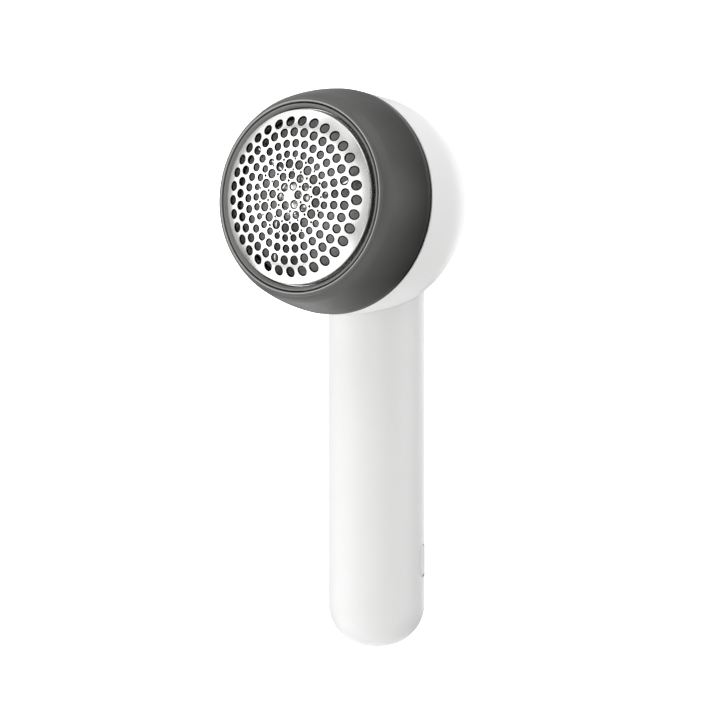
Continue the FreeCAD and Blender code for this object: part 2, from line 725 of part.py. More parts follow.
def make_handle_shell():
    dome = on_head(dome_body(-0.05, HEAD_RADIUS))
    grip = grip_body(0, SPIGOT_TOP - 1).cut(dome)
    spigot = rod(SPIGOT_RADIUS, 30, SPIGOT_TOP)
    tongue = block((-12, TONGUE_FRONT, SPIGOT_TOP - 4), (12, TONGUE_BACK, NECK_SCREW_Z + 3.5))
    tongue = tongue.common(rod(SPIGOT_RADIUS, 0, 100))
    bore = grip_body(GRIP_WALL, SPIGOT_TOP + 1)
    shell = fused(grip, spigot).cut(bore).fuse(tongue)
    cuts = [
        Part.makeCylinder(1.2, 20, FreeCAD.Vector(side * NECK_SCREW_X, 0, NECK_SCREW_Z), Y_AXIS)
        for side in (-1, 1)
    ]
    cuts.append(button_bar(RING_OUTER, 5, 20))
    cuts.append(at_port(pill(PORT_COVER_TALL + 2 * FIT, PORT_COVER_WIDE + 2 * FIT, port_floor(), 20)))
    cuts.append(at_port(pill(SOCKET_TALL + 0.5, SOCKET_WIDE + 0.5, 5, 20)))
    return shell.cut(cuts).removeSplitter()


def make_neck_screws():
    screw = pan_screw(2.2, 1.5, 0.95, 8.0)
    screws = []
    for side in (-1, 1):
        placed = about_axis(screw, 90, X_AXIS)
        placed.translate(FreeCAD.Vector(side * NECK_SCREW_X, TONGUE_FRONT, NECK_SCREW_Z))
        screws.append(placed)
    return Part.makeCompound(screws)


# ---------------------------------------------------------------- power button
RING_OUTER = 5.6
RING_INNER = BUTTON_RADIUS + FIT
BOARD_FRONT = 7.4
BOARD_THICK = 1.0
FLANGE_FACE = 11.4
FLANGE_THICK = 0.7
STEM_RADIUS = 1.5


def button_bar(radius, low, high):
    """A round bar along Y at the power button's height."""
    return Part.makeCylinder(radius, high - low, FreeCAD.Vector(0, low, BUTTON_HEIGHT), Y_AXIS)


def make_power_button():
    crown = button_bar(BUTTON_RADIUS, FLANGE_FACE - 0.2, 20).common(
        rod(GRIP_RADIUS + BUTTON_PROUD, 0, 100)
    )
    dish = Part.makeSphere(14.0, FreeCAD.Vector(0, GRIP_RADIUS + BUTTON_PROUD + 13.6, BUTTON_HEIGHT))
    flange = button_bar(RING_INNER + 0.5, FLANGE_FACE - FLANGE_THICK, FLANGE_FACE)
    return fused(crown.cut(dish), flange)


def make_light_ring():
    bar = button_bar(RING_OUTER, 5, 20).cut(button_bar(RING_INNER, 0, 25))
    top = SPIGOT_TOP - 1
    return bar.common(grip_body(0, top)).cut(grip_body(GRIP_WALL, top + 1))


def make_switch_board():
    top = BUTTON_HEIGHT + 6.0
    bottom = CELL_BOTTOM + CELL_LENGTH + 2.0
    return block((-6.0, BOARD_FRONT, bottom), (6.0, BOARD_FRONT + BOARD_THICK, top))


def make_switch_body():
    back = BOARD_FRONT + BOARD_THICK
    side = 3.0
    case = block((-side, back, BUTTON_HEIGHT - side), (side, back + 1.5, BUTTON_HEIGHT + side))
    return case.cut(button_bar(STEM_RADIUS + 0.2, back + 0.4, 20))


def make_switch_stem():
    return button_bar(STEM_RADIUS, BOARD_FRONT + BOARD_THICK + 1.2, FLANGE_FACE - FLANGE_THICK)


def make_ring_leds():
    back = BOARD_FRONT + BOARD_THICK
    leds = [
        block((x - 0.8, back, BUTTON_HEIGHT + z - 0.4), (x + 0.8, back + 0.7, BUTTON_HEIGHT + z + 0.4))
        for x, z in ((0, 4.6), (0, -4.2), (4.6, 0), (-4.6, 0))
    ]
    return Part.makeCompound(leds)


# ---------------------------------------------------------------- battery and its tray
TRAY_TOP = CELL_BOTTOM + CELL_LENGTH + 1.8
TRAY_BOTTOM = CELL_BOTTOM - 3.0
TRAY_RADIUS = GRIP_RADIUS - GRIP_WALL - FIT


def make_handle_tray():
    inner = CELL_RADIUS + 0.35
    front_half = block((-20, -20, -60), (20, 0, 60))
    trough = ring(inner, inner + 1.5, TRAY_BOTTOM, TRAY_TOP)
    ribs = [
        ring(inner + 1.0, TRAY_RADIUS, z, z + 1.5)
        for z in (TRAY_BOTTOM + 12, TRAY_BOTTOM + 28, TRAY_BOTTOM + 44, TRAY_BOTTOM + 60)
    ]
    half = fused(trough, *ribs).common(front_half)
    ends = [rod(TRAY_RADIUS, TRAY_BOTTOM, TRAY_BOTTOM + 1.5), rod(TRAY_RADIUS, TRAY_TOP - 1.5, TRAY_TOP)]
    rails = [
        block((left, BOARD_FRONT - 1.2, TRAY_TOP - 0.5), (left + 2.0, BOARD_FRONT + 2.2, BUTTON_HEIGHT + 5))
        for left in (-8.0, 6.0)
    ]
    back = BOARD_SIDE - BOARD_THICK
    post = block((-9.0, back - 3.0, BOARD_BOTTOM + 1.0), (-5.5, back, TRAY_BOTTOM))
    post = about_axis(post, PORT_TURN)
    tray = fused(half, *ends, *rails, post)
    wire_notch = block((-7.0, 8.9, TRAY_BOTTOM - 1), (7.0, 20, TRAY_TOP + 0.1))
    pilots = [board_screw_bar(0.7, back - 2.5, back, z) for z in BOARD_SCREW_HEIGHTS]
    return tray.cut([wire_notch] + pilots)


def make_battery_cell():
    top = CELL_BOTTOM + CELL_LENGTH
    return turned([
        (0, CELL_BOTTOM), (CELL_RADIUS - 0.8, CELL_BOTTOM),
        ((CELL_RADIUS - 0.23, CELL_BOTTOM + 0.23), (CELL_RADIUS, CELL_BOTTOM + 0.8)),
        (CELL_RADIUS, top - 1.8), ((CELL_RADIUS - 0.15, top - 1.4), (CELL_RADIUS - 0.6, top - 1.2)),
        (3.0, top - 1.2), (3.0, top), (0, top),
    ])


def make_cell_tabs():
    top = CELL_BOTTOM + CELL_LENGTH
    upper = block((-2.5, -2.5, top), (2.5, 10.5, top + 0.3))
    lower = block((-2.5, -2.5, CELL_BOTTOM - 0.3), (2.5, 10.5, CELL_BOTTOM))
    return Part.makeCompound([upper, lower])


def make_foam_pad():
    return rod(CELL_RADIUS - 0.5, TRAY_BOTTOM + 1.5, CELL_BOTTOM - 0.3)


# ---------------------------------------------------------------- charging port
SOCKET_TALL = 8.94
SOCKET_WIDE = 3.26
SOCKET_DEPTH = 7.35
SOCKET_WALL = 0.3
BOARD_SIDE = -SOCKET_WIDE / 2
BOARD_BOTTOM = -46.0
BOARD_SCREW_X = -7.2
BOARD_SCREW_HEIGHTS = (-28.5, -42.0)


def port_floor():
    """Radius of the floor of the shallow recess that the port's cover closes."""
    return GRIP_RADIUS - PORT_DEPTH


def make_usb_socket():
    mouth = GRIP_RADIUS - GRIP_WALL
    outside = pill(SOCKET_TALL, SOCKET_WIDE, mouth - SOCKET_DEPTH, mouth)
    inside = pill(
        SOCKET_TALL - 2 * SOCKET_WALL, SOCKET_WIDE - 2 * SOCKET_WALL, mouth - SOCKET_DEPTH + 1.2, mouth + 1
    )
    return at_port(outside.cut(inside))


def make_usb_tongue():
    mouth = GRIP_RADIUS - GRIP_WALL
    return at_port(block((mouth - SOCKET_DEPTH + 1.2, -0.35, -3.35), (mouth - 0.8, 0.35, 3.35)))


def make_charge_board():
    board = block((-10.5, BOARD_SIDE - BOARD_THICK, BOARD_BOTTOM), (11.4, BOARD_SIDE, TRAY_BOTTOM))
    board = about_axis(board, PORT_TURN)
    holes = [board_screw_bar(0.8, -10, 10, z) for z in BOARD_SCREW_HEIGHTS]
    return board.cut(holes)


def board_screw_bar(radius, low, high, height):
    """A round bar across the charging board, at one of its screws."""
    bar = Part.makeCylinder(radius, high - low, FreeCAD.Vector(BOARD_SCREW_X, low, height), Y_AXIS)
    return about_axis(bar, PORT_TURN)


def make_board_screws():
    screws = []
    for height in BOARD_SCREW_HEIGHTS:
        screw = about_axis(pan_screw(1.4, 0.9, 0.7, 3.2), -90, X_AXIS)
        screw.translate(FreeCAD.Vector(BOARD_SCREW_X, BOARD_SIDE, height))
        screws.append(about_axis(screw, PORT_TURN))
    return Part.makeCompound(screws)


# left edge, lower edge, width, height and thickness of each chip
BOARD_CHIPS = (
    (-2.8, -42.5, 4.0, 5.0, 1.5),
    (3.0, -44.0, 2.0, 2.0, 1.0),
    (-4.2, -34.5, 2.0, 3.5, 0.8),
    (0.2, -34.0, 3.0, 3.0, 1.2),
    (7.0, -43.5, 2.4, 4.0, 1.1),
)


def make_board_parts():
    parts = [
        block((left, BOARD_SIDE, bottom), (left + wide, BOARD_SIDE + thick, bottom + tall))
        for left, bottom, wide, tall, thick in BOARD_CHIPS
    ]
    parts.append(Part.makeCylinder(2.2, 2.4, FreeCAD.Vector(4.6, BOARD_SIDE, -38.6), Y_AXIS))
    return Part.makeCompound([about_axis(part, PORT_TURN) for part in parts])


def make_port_cover():
    outer = GRIP_RADIUS - 0.05
    slab = pill(PORT_COVER_TALL, PORT_COVER_WIDE, port_floor() + 0.1, 20)
    slab = slab.common(rod(outer, -20, 20))
    tab = pill(SOCKET_TALL - 0.4, SOCKET_WIDE - 0.5, GRIP_RADIUS - GRIP_WALL + 0.3, port_floor() + 0.5)
    nick = block((outer - 0.45, -1.6, -PORT_COVER_TALL / 2 - 1), (20, 1.6, -PORT_COVER_TALL / 2 + 0.7))
    return at_port(fused(slab, tab).cut(nick))


# ---------------------------------------------------------------- wires
WIRE_RADIUS = 0.55


def make_motor_wires():
    wires = []
    for side in (-1, 1):
        wires.append(wire_run([
            (side * 7.6, -0.3, HEAD_HEIGHT), (side * 7.6, 4.6, HEAD_HEIGHT - 1), (side * 6.2, 5.0, 66.0),
            (side * 4.4, 5.6, 60.0), (side * 4.4, BOARD_FRONT - WIRE_RADIUS, 54.5),
        ], WIRE_RADIUS, 2.4))
    return Part.makeCompound(wires)


def make_handle_wires():
    """Two wires from the charging board up beside the cell to the switch board."""
    wires = []
    channel = CELL_RADIUS + 1.45
    low = TRAY_BOTTOM - 2.6
    turn = math.radians(PORT_TURN)
    for x in (-3.4, 3.4):
        board_face = x * math.tan(turn) + BOARD_SIDE / math.cos(turn)
        wires.append(wire_run([
            (x, board_face + 0.2, low), (x, channel, low), (x, channel, TRAY_TOP - 3.8),
            (x, BOARD_FRONT + BOARD_THICK + WIRE_RADIUS, BUTTON_HEIGHT - 3.6),
        ], WIRE_RADIUS, 3.0))
    return Part.makeCompound(wires)


# ---------------------------------------------------------------- the object
HEAD_PIECES = {
    "foil": make_foil,
    "foil_frame": make_foil_frame,
    "foil_retainer": make_foil_retainer,
    "front_housing": make_front_housing,
    "dust_seal": make_dust_seal,
    "blade_carrier": make_blade_carrier,
    "blades": make_blades,
    "blade_cap": make_blade_cap,
    "float_spring": make_float_spring,
    "drive_spindle": make_drive_spindle,
    "motor_can": make_motor_can,
    "motor_end_bell": make_motor_end_bell,
    "motor_terminals": make_motor_terminals,
    "motor_brushes": make_motor_brushes,
    "motor_bushes": make_motor_bushes,
    "motor_magnets": make_motor_magnets,
    "motor_shaft": make_motor_shaft,
    "armature": make_armature,
    "windings": make_windings,
    "commutator": make_commutator,
    "motor_mount": make_motor_mount,
    "motor_damper": make_motor_damper,
    "motor_screws": make_motor_screws,
    "mount_screws": make_mount_screws,
    "safety_switch": make_safety_switch,
    "safety_plunger": make_safety_plunger,
}

BODY_PIECES = {
    "rear_dome": make_rear_dome,
    "handle_shell": make_handle_shell,
    "neck_screws": make_neck_screws,
    "power_button": make_power_button,
    "light_ring": make_light_ring,
    "switch_board": make_switch_board,
    "switch_body": make_switch_body,
    "switch_stem": make_switch_stem,
    "ring_leds": make_ring_leds,
    "handle_tray": make_handle_tray,
    "battery_cell": make_battery_cell,
    "cell_tabs": make_cell_tabs,
    "foam_pad": make_foam_pad,
    "charge_board": make_charge_board,
    "board_parts": make_board_parts,
    "board_screws": make_board_screws,
    "usb_socket": make_usb_socket,
    "usb_tongue": make_usb_tongue,
    "port_cover": make_port_cover,
    "motor_wires": make_motor_wires,
    "handle_wires": make_handle_wires,
}

shapes = {name: on_head(make()) for name, make in HEAD_PIECES.items()}
shapes.update({name: make() for name, make in BODY_PIECES.items()})

for name, shape in shapes.items():
    if not shape.isValid():
        print("not valid:", name)
    shape.exportStep(os.path.join("parts", name + ".step"))
print(len(shapes), "nodes,", sum(len(shape.Solids) for shape in shapes.values()), "solids")
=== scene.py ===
import json
import math

import bpy
from mathutils import Matrix, Vector
from mathutils.geometry import delaunay_2d_cdt


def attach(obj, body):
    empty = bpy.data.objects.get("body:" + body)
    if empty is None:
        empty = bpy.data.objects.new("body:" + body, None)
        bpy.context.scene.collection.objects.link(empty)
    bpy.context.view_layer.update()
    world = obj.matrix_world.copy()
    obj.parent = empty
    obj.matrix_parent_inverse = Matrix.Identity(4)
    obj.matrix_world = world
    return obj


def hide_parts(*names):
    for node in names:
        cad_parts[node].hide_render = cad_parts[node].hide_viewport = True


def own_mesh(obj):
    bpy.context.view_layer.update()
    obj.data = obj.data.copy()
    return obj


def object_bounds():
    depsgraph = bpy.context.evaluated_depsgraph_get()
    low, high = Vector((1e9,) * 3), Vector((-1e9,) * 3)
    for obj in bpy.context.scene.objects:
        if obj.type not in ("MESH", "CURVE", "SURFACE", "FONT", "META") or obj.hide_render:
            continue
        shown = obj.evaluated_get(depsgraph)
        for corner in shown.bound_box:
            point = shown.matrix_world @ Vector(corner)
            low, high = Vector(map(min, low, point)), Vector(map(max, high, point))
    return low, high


# Looks of a hand-held fabric shaver. Metres, Z up the handle, foil facing -Y.
# The foil is built in the head's own frame: millimetres, Z forward from the split between housing
# and dome, Y up.

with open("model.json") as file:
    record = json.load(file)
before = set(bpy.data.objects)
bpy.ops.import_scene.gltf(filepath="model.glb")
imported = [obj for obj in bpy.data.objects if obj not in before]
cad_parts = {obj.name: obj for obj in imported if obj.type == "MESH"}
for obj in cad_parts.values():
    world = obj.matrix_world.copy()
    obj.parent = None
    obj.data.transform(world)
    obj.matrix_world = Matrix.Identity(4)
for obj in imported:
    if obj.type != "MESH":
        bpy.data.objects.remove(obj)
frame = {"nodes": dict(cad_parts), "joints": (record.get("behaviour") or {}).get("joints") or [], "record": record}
CAD_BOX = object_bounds()
NODES = frame["nodes"]
JOINTS = {joint["name"]: joint for joint in frame["joints"]}

MM = 0.001
HEAD_CENTRE = Vector(JOINTS["blade_spin"]["pos_m"])
HEAD_PLACE = Matrix.Translation(HEAD_CENTRE) @ Matrix.Rotation(math.radians(90), 4, "X")

ROUND_STEPS = 256           # facets round the foil's rim
SOFT_EDGE = 0.00015         # radius that shading softens crisp edges by


# ---------------------------------------------------------------- mesh helpers
def new_piece(name, points, faces, body, materials, face_materials=None, normals=None):
    """A smooth-shaded mesh that rides on a body. Points are in metres in the object's frame."""
    mesh = bpy.data.meshes.new(name)
    mesh.from_pydata([tuple(point) for point in points], [], faces)
    for material in materials:
        mesh.materials.append(material)
    for polygon in mesh.polygons:
        polygon.use_smooth = True
        if face_materials:
            polygon.material_index = face_materials[polygon.index]
    if normals:
        mesh.normals_split_custom_set(normals)
    piece = bpy.data.objects.new(name, mesh)
    bpy.context.scene.collection.objects.link(piece)
    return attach(piece, body)


# ---------------------------------------------------------------- material helpers
def node_material(name, colour, roughness, metallic=0.0, **settings):
    """A Principled material. Colours are linear, and settings are other inputs of its shader."""
    material = bpy.data.materials.new(name)
    material.use_nodes = True
    shader = material.node_tree.nodes["Principled BSDF"]
    shader.inputs["Base Color"].default_value = (*colour, 1)
    shader.inputs["Roughness"].default_value = roughness
    shader.inputs["Metallic"].default_value = metallic
    for socket, value in settings.items():
        shader.inputs[socket.replace("_", " ")].default_value = value
    return material


def add(material, kind, **values):
    """A new node of a material, with inputs or properties set by name."""
    node = material.node_tree.nodes.new(kind)
    for key, value in values.items():
        if key in node.inputs:
            node.inputs[key].default_value = value
        else:
            setattr(node, key, value)
    return node


def link(material, source, target):
    material.node_tree.links.new(source, target)


def place_of(material):
    """The texture coordinate of a material: the point in the object's frame, in metres."""
    return add(material, "ShaderNodeTexCoord").outputs["Object"]


def noise(material, scale, detail=3.0, stretch=None):
    """A 0-1 noise at a scale per metre, which stretch can change along each axis."""
    source = place_of(material)
    if stretch:
        mapping = add(material, "ShaderNodeMapping")
        mapping.inputs["Scale"].default_value = stretch
        link(material, source, mapping.inputs["Vector"])
        source = mapping.outputs["Vector"]
    texture = add(material, "ShaderNodeTexNoise", Scale=scale, Detail=detail)
    link(material, source, texture.inputs["Vector"])
    return texture.outputs["Fac"]


def ranged(material, source, low, high):
    """A 0-1 value spread between low and high."""
    spread = add(material, "ShaderNodeMapRange")
    spread.inputs["To Min"].default_value = low
    spread.inputs["To Max"].default_value = high
    link(material, source, spread.inputs["Value"])
    return spread.outputs["Result"]


def vary_roughness(material, source, low, high):
    shader = material.node_tree.nodes["Principled BSDF"]
    link(material, ranged(material, source, low, high), shader.inputs["Roughness"])


def vary_colour(material, source, first, second, low=0.3, high=0.7):
    """Blends the base colour between two colours as the source goes from low to high."""
    ramp = add(material, "ShaderNodeValToRGB")
    ramp.color_ramp.elements[0].position = low
    ramp.color_ramp.elements[0].color = (*first, 1)
    ramp.color_ramp.elements[1].position = high
    ramp.color_ramp.elements[1].color = (*second, 1)
    link(material, source, ramp.inputs["Fac"])
    shader = material.node_tree.nodes["Principled BSDF"]
    link(material, ramp.outputs["Color"], shader.inputs["Base Color"])


def bump(material, layers, edge=0.0):
    """Stacks bumps on the shader's normal, from (height source, strength, distance in metres) layers.
    An edge radius in metres softens the piece's crisp edges first."""
    normal = None
    if edge:
        softened = add(material, "ShaderNodeBevel", Radius=edge, samples=6)
        normal = softened.outputs["Normal"]
    for source, strength, distance in layers:
        relief = add(material, "ShaderNodeBump")
        relief.inputs["Strength"].default_value = strength
        relief.inputs["Distance"].default_value = distance
        link(material, source, relief.inputs["Height"])
        if normal:
            link(material, normal, relief.inputs["Normal"])
        normal = relief.outputs["Normal"]
    shader = material.node_tree.nodes["Principled BSDF"]
    link(material, normal, shader.inputs["Normal"])


def shade(colour, factor):
    return tuple(min(1.0, part * factor) for part in colour)


def moulded(name, colour, roughness, grain, depth, mottle=0.02, edge=SOFT_EDGE, **settings):
    """Injection-moulded plastic: a fine texture from the mould, faint flow mottling and uneven gloss.
    Grain is the texture's scale per metre and depth its height in metres."""
    material = node_material(name, colour, roughness, **settings)
    broad = noise(material, 60.0, 2.0)
    vary_colour(material, broad, shade(colour, 1 - mottle), shade(colour, 1 + mottle))
    vary_roughness(material, noise(material, 250.0), roughness * 0.88, roughness * 1.12)
    bump(material, [(noise(material, grain, 2.0), 0.35, depth)], edge)
    return material


def tint(material, factor, colour):
    """Blends the base colour built so far towards another by a 0-1 factor."""
    shader = material.node_tree.nodes["Principled BSDF"]
    mix = add(material, "ShaderNodeMix", data_type="RGBA")
    mix.inputs["B"].default_value = (*colour, 1)
    link(material, factor, mix.inputs["Factor"])
    link(material, shader.inputs["Base Color"].links[0].from_socket, mix.inputs["A"])
    link(material, mix.outputs["Result"], shader.inputs["Base Color"])


def fade(material, value, start, end):
    """0 where a value is at start, changing to 1 where it is at end."""
    change = add(material, "ShaderNodeMapRange")
    change.inputs["From Min"].default_value = start
    change.inputs["From Max"].default_value = end
    link(material, value, change.inputs["Value"])
    return change.outputs["Result"]


def head_coordinates(material):
    """The distance from the head's axis and the distance forward of the split, in metres."""
    offset = add(material, "ShaderNodeVectorMath", operation="SUBTRACT")
    offset.inputs[1].default_value = HEAD_CENTRE
    link(material, place_of(material), offset.inputs[0])
    across = add(material, "ShaderNodeVectorMath", operation="MULTIPLY")
    across.inputs[1].default_value = (1, 0, 1)
    link(material, offset.outputs["Vector"], across.inputs[0])
    length = add(material, "ShaderNodeVectorMath", operation="LENGTH")
    link(material, across.outputs["Vector"], length.inputs[0])
    forward = add(material, "ShaderNodeVectorMath", operation="DOT_PRODUCT")
    forward.inputs[1].default_value = (0, -1, 0)
    link(material, offset.outputs["Vector"], forward.inputs[0])
    return length.outputs["Value"], forward.outputs["Value"]


def band(material, value, start, full, end, gone):
    """1 where a value lies between full and end, fading to 0 at start and gone."""
    rise = add(material, "ShaderNodeMapRange", interpolation_type="SMOOTHSTEP")
    fall = add(material, "ShaderNodeMapRange", interpolation_type="SMOOTHSTEP")
    for node, low, high in ((rise, start, full), (fall, gone, end)):
        node.inputs["From Min"].default_value = low
        node.inputs["From Max"].default_value = high
        link(material, value, node.inputs["Value"])
    both = add(material, "ShaderNodeMath", operation="MULTIPLY")
    link(material, rise.outputs["Result"], both.inputs[0])
    link(material, fall.outputs["Result"], both.inputs[1])
    return both.outputs["Value"]


def turned_metal(name, colour, roughness, pitch, depth, edge=0.0):
    """Metal with fine circular polishing marks about the head's axis. Pitch and depth are in metres."""
    material = node_material(name, colour, roughness, 1.0)
    radius, _ = head_coordinates(material)
    spread = add(material, "ShaderNodeCombineXYZ")
    link(material, radius, spread.inputs["X"])
    lines = add(material, "ShaderNodeTexNoise", Scale=1.0 / pitch, Detail=4.0)
    link(material, spread.outputs["Vector"], lines.inputs["Vector"])
    smudge = noise(material, 120.0, 3.0)
    vary_roughness(material, smudge, roughness * 0.8, roughness * 1.25)
    vary_colour(material, smudge, shade(colour, 0.96), colour)
    bump(material, [(lines.outputs["Fac"], 0.25, depth)], edge)
    return material


def brushed(name, colour, roughness, stretch):
    """Metal with straight grinding lines, stretched along one axis."""
    material = node_material(name, colour, roughness, 1.0)
    lines = noise(material, 900.0, 3.0, stretch)
    vary_roughness(material, lines, roughness * 0.8, roughness * 1.3)
    vary_colour(material, noise(material, 150.0), shade(colour, 0.9), colour)
    bump(material, [(lines, 0.4, 0.00002)], SOFT_EDGE)
    return material


def cells(material, scale):
    """A texture of cells at a scale per metre, for grains, pores and spangle."""
    texture = add(material, "ShaderNodeTexVoronoi", Scale=scale)
    link(material, place_of(material), texture.inputs["Vector"])
    return texture


def plated(name, colour, roughness, spangle=500.0):
    """Plated metal: faint crystal patches of differing tone, with handling smudges."""
    material = node_material(name, colour, roughness, 1.0)
    vary_colour(material, cells(material, spangle).outputs["Color"], shade(colour, 0.88), colour)
    vary_roughness(material, noise(material, 180.0), roughness * 0.75, roughness * 1.35)
    bump(material, [(noise(material, 900.0), 0.3, 0.00001)], SOFT_EDGE)
    return material


def grained(name, colour, roughness, grain, depth, metallic=0.0, contrast=0.3):
    """Sintered, foamed or rubbery stuff: pores of one size and patchy tone. Grain is their number per
    metre and depth their depth in metres."""
    material = node_material(name, colour, roughness, metallic)
    pores = cells(material, grain).outputs["Distance"]
    vary_colour(material, pores, shade(colour, 1 - contrast), shade(colour, 1 + contrast))
    vary_roughness(material, noise(material, 200.0), roughness * 0.9, min(1.0, roughness * 1.1))
    bump(material, [(pores, 0.5, depth), (noise(material, 1500.0), 0.3, depth / 2)], SOFT_EDGE)
    return material


def striped(name, colour, roughness, pitch, along, depth, metallic=0.0):
    """A surface with fine parallel ridges: wound wire or insulation. Ridges repeat along one axis, at a
    pitch in metres. A wave texture repeats every pi / (10 scale)."""
    material = node_material(name, colour, roughness, metallic)
    ridges = add(material, "ShaderNodeTexWave", bands_direction=along, wave_profile="SIN")
    ridges.inputs["Scale"].default_value = math.pi / (10 * pitch)
    ridges.inputs["Distortion"].default_value = 0.4
    link(material, place_of(material), ridges.inputs["Vector"])
    vary_colour(material, ridges.outputs["Fac"], shade(colour, 0.6), colour, 0.1, 0.6)
    vary_roughness(material, noise(material, 300.0), roughness * 0.85, roughness * 1.2)
    bump(material, [(ridges.outputs["Fac"], 0.6, depth)], SOFT_EDGE)
    return material


def circuit_board(name, mask, trace):
    """Solder mask over copper tracks, which show as raised lighter lines."""
    material = node_material(name, mask, 0.35)
    tracks = add(material, "ShaderNodeTexBrick", offset=0.5, squash=1.0)
    turned_place = add(material, "ShaderNodeMapping")
    turned_place.inputs["Rotation"].default_value = (math.radians(90), 0, 0)
    link(material, place_of(material), turned_place.inputs["Vector"])
    link(material, turned_place.outputs["Vector"], tracks.inputs["Vector"])
    tracks.inputs["Scale"].default_value = 400.0
    tracks.inputs["Mortar Size"].default_value = 0.06
    vary_colour(material, tracks.outputs["Fac"], mask, trace, 0.2, 0.8)
    vary_roughness(material, noise(material, 400.0), 0.3, 0.42)
    bump(material, [(tracks.outputs["Fac"], 0.5, 0.00003)], SOFT_EDGE)
    return material


# ---------------------------------------------------------------- foil
FOIL_TOP = 24.3             # crown, forward of the split
CROWN_ROUND = 140.0
CROWN_EDGE = 18.5           # radius where the crown turns into the shoulder
SHOULDER_ROUND = 16.0
FOIL_EDGE_ROUND = 0.6
FOIL_RADIUS = 25.7
FOIL_THICK = 0.35
FLANGE_BACK = 17.0
FLANGE_RADIUS = 27.0
PATTERN_RADIUS = 24.0       # the pierced part, which the plain rolled edge continues
BEVEL = 0.34                # width of the etched bevel, half of it inside the hole's edge
BEVEL_DROP = 0.09
BEVEL_TILT = 60.0           # the bevel's steepest slope, in degrees
RING_STEP = 1.2             # spacing of the plain mesh points between the holes
HOLE_MARGIN = 2.2 * BEVEL   # the plain mesh points keep this far from a hole's edge
FINE_RADIUS = 0.5           # smaller holes than this are the fine ones
HOLE_STEPS = 28
FINE_HOLE_STEPS = 14
BEVEL_SHARE = 0.4           # most of the gap to the next hole that a bevel may take
EDGE_STEPS = 8              # facets across each arc of the rolled edge
FOOT_ROUND = 0.2            # rounding where the skirt meets the flange

# radius of the row, number of holes, hole diameter, turn of the first hole
HOLE_ROWS = (
    (22.05, 33, 2.75, 5.4),
    (18.7, 33, 2.5, 0.0),
    (15.4, 30, 2.25, -0.5),
    (12.3, 26, 2.0, -1.6),
    (9.4, 17, 2.6, 6.0),
    (6.1, 12, 2.3, 22.0),
    (3.1, 6, 2.4, 3.0),
    (10.9, 17, 0.5, 16.6),
    (7.75, 17, 0.5, 16.6),
    (4.5, 6, 0.5, 33.0),
)


def shoulder_centre():
    tilt = math.asin(CROWN_EDGE / CROWN_ROUND)
    step = CROWN_ROUND - SHOULDER_ROUND
    return step * math.sin(tilt), FOIL_TOP - CROWN_ROUND + step * math.cos(tilt)


def foil_slope(radius):
    """The foil's tilt away from facing forward at a radius, in radians."""
    if radius <= CROWN_EDGE:
        return math.asin(radius / CROWN_ROUND)
    return math.asin((radius - shoulder_centre()[0]) / SHOULDER_ROUND)


def foil_height(radius):
    tilt = foil_slope(radius)
    if radius <= CROWN_EDGE:
        return FOIL_TOP - CROWN_ROUND * (1 - math.cos(tilt))
    return shoulder_centre()[1] + SHOULDER_ROUND * math.cos(tilt)


def foil_normal(x, y):
    radius = math.hypot(x, y)
    tilt = foil_slope(radius)
    if radius < 1e-6:
        return Vector((0, 0, 1))
    return Vector((x / radius * math.sin(tilt), y / radius * math.sin(tilt), math.cos(tilt)))


def hole_places():
    """Centre and radius of every hole."""
    places = []
    for row, count, diameter, first in HOLE_ROWS:
        for k in range(count):
            turn = math.radians(first + k * 360.0 / count)
            places.append((row * math.cos(turn), row * math.sin(turn), diameter / 2))
    return places


def loop_points(x, y, radius, count):
    turns = [2 * math.pi * k / count for k in range(count)]
    return [Vector((x + radius * math.cos(t), y + radius * math.sin(t))) for t in turns]


def foil_layout():
    """Flat triangles of the pierced part. Each point has an owner: (hole, 0 at its edge or 1 at its
    bevel's outside), or None."""
    points, owners, edges = [], [], []

    def add_loop(loop, owner):
        first = len(points)
        points.extend(loop)
        owners.extend([owner] * len(loop))
        edges.extend((first + k, first + (k + 1) % len(loop)) for k in range(len(loop)))

    holes = hole_places()
    for index, (x, y, radius) in enumerate(holes):
        count = HOLE_STEPS if radius > FINE_RADIUS else FINE_HOLE_STEPS
        gap = min(
            math.hypot(x - u, y - v) - radius - r for u, v, r in holes if (u, v) != (x, y)
        )
        add_loop(loop_points(x, y, radius - BEVEL / 2, count), (index, 0))
        add_loop(loop_points(x, y, radius + min(BEVEL / 2, BEVEL_SHARE * gap), count), (index, 1))
    add_loop(loop_points(0, 0, PATTERN_RADIUS, ROUND_STEPS), None)
    ring = RING_STEP
    while ring < PATTERN_RADIUS - RING_STEP / 2:
        for point in loop_points(0, 0, ring, max(6, round(2 * math.pi * ring / RING_STEP))):
            if all(math.hypot(point.x - x, point.y - y) > r + HOLE_MARGIN for x, y, r in holes):
                points.append(point)
                owners.append(None)
        ring += RING_STEP
    placed, _, triangles, sources, _, _ = delaunay_2d_cdt(points, edges, [], 0, 1e-6)
    owners = [owners[source[0]] for source in sources]
    return placed, triangles, owners, holes


